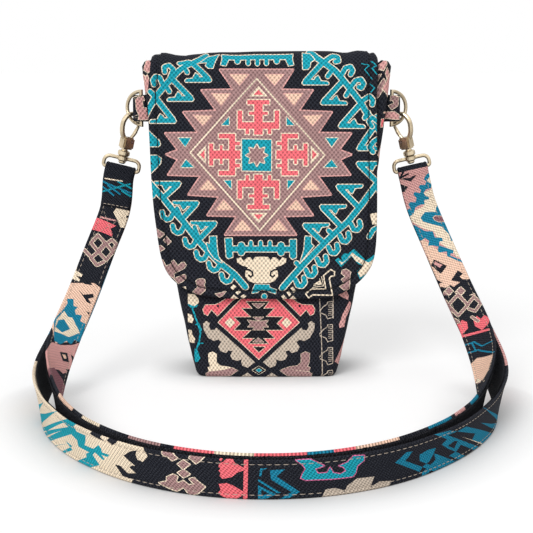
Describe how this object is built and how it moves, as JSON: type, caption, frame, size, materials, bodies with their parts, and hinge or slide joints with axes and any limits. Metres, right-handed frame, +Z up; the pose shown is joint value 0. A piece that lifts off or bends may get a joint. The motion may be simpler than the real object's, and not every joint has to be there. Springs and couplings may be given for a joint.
{
  "type": "printed canvas crossbody phone pouch",
  "caption": "Tall tapering canvas phone pouch with a rounded print flap, side D-rings, two sprung swivel clasps and a doubled flat strap.",
  "frame": {"origin": "middle of the pouch's foot, on the ground", "axes": "+Z up, -Y towards the flap's front and the strap's loop, +X to the right seen from the front"},
  "size_m": [0.2755, 0.2725, 0.2003],
  "materials": {
    "canvas": "coarse printed canvas, navy-black ground with teal, cream, mauve and coral figures",
    "strap_canvas": "coarse printed canvas strap, edge-stitched",
    "lining": "plain dark lining cloth",
    "brass": "light antique brass plate, satin",
    "steel": "plated steel"
  },
  "bodies": {
    "pouch": {"outer_shell": "canvas", "lining": "lining", "flap": "canvas", "flap_facing": "lining", "snap_socket": "steel", "snap_stud": "steel", "left_tab": "canvas", "right_tab": "canvas", "strap": "strap_canvas"},
    "left_d_ring": {"left_d_ring": "brass"},
    "left_swivel_ring": {"left_swivel_ring": "brass"},
    "left_hook": {"left_hook": "brass", "left_gate_pin": "steel", "left_gate_spring": "steel"},
    "left_gate": {"left_gate": "brass"},
    "right_d_ring": {"right_d_ring": "brass"},
    "right_swivel_ring": {"right_swivel_ring": "brass"},
    "right_hook": {"right_hook": "brass", "right_gate_pin": "steel", "right_gate_spring": "steel"},
    "right_gate": {"right_gate": "brass"}
  },
  "joints": [
    {"name": "left_d_ring_hinge", "type": "hinge", "parent": "pouch", "child": "left_d_ring", "pos_m": [-0.07766, 0, 0.1652], "axis": [0, 0, 1], "range_deg": [-4, 4]},
    {"name": "left_ring_hinge", "type": "hinge", "parent": "pouch", "child": "left_swivel_ring", "pos_m": [-0.0917, 0.00415, 0.12714], "axis": [0.9744, 0, -0.225], "range_deg": [-1, 2]},
    {"name": "left_swivel", "type": "hinge", "parent": "left_swivel_ring", "child": "left_hook", "pos_m": [-0.08977, 0.00415, 0.13552], "axis": [0.225, 0, 0.9744], "range_deg": [-10, 20]},
    {"name": "left_gate_hinge", "type": "hinge", "parent": "left_hook", "child": "left_gate", "pos_m": [-0.08597, 0.00551, 0.14429], "axis": [0.5999, -0.788, -0.1385], "range_deg": [0, 25], "stiffness_Nm_per_rad": 0.004, "springref_deg": -20.05},
    {"name": "right_d_ring_hinge", "type": "hinge", "parent": "pouch", "child": "right_d_ring", "pos_m": [0.07766, 0, 0.1652], "axis": [0, 0, -1], "range_deg": [-4, 4]},
    {"name": "right_ring_hinge", "type": "hinge", "parent": "pouch", "child": "right_swivel_ring", "pos_m": [0.0917, 0.00415, 0.12714], "axis": [0.9744, 0, 0.225], "range_deg": [-1, 2]},
    {"name": "right_swivel", "type": "hinge", "parent": "right_swivel_ring", "child": "right_hook", "pos_m": [0.08977, 0.00415, 0.13552], "axis": [0.225, 0, -0.9744], "range_deg": [-10, 20]},
    {"name": "right_gate_hinge", "type": "hinge", "parent": "right_hook", "child": "right_gate", "pos_m": [0.08597, 0.00551, 0.14429], "axis": [0.5999, 0.788, 0.1385], "range_deg": [0, 25], "stiffness_Nm_per_rad": 0.004, "springref_deg": -20.05}
  ]
}
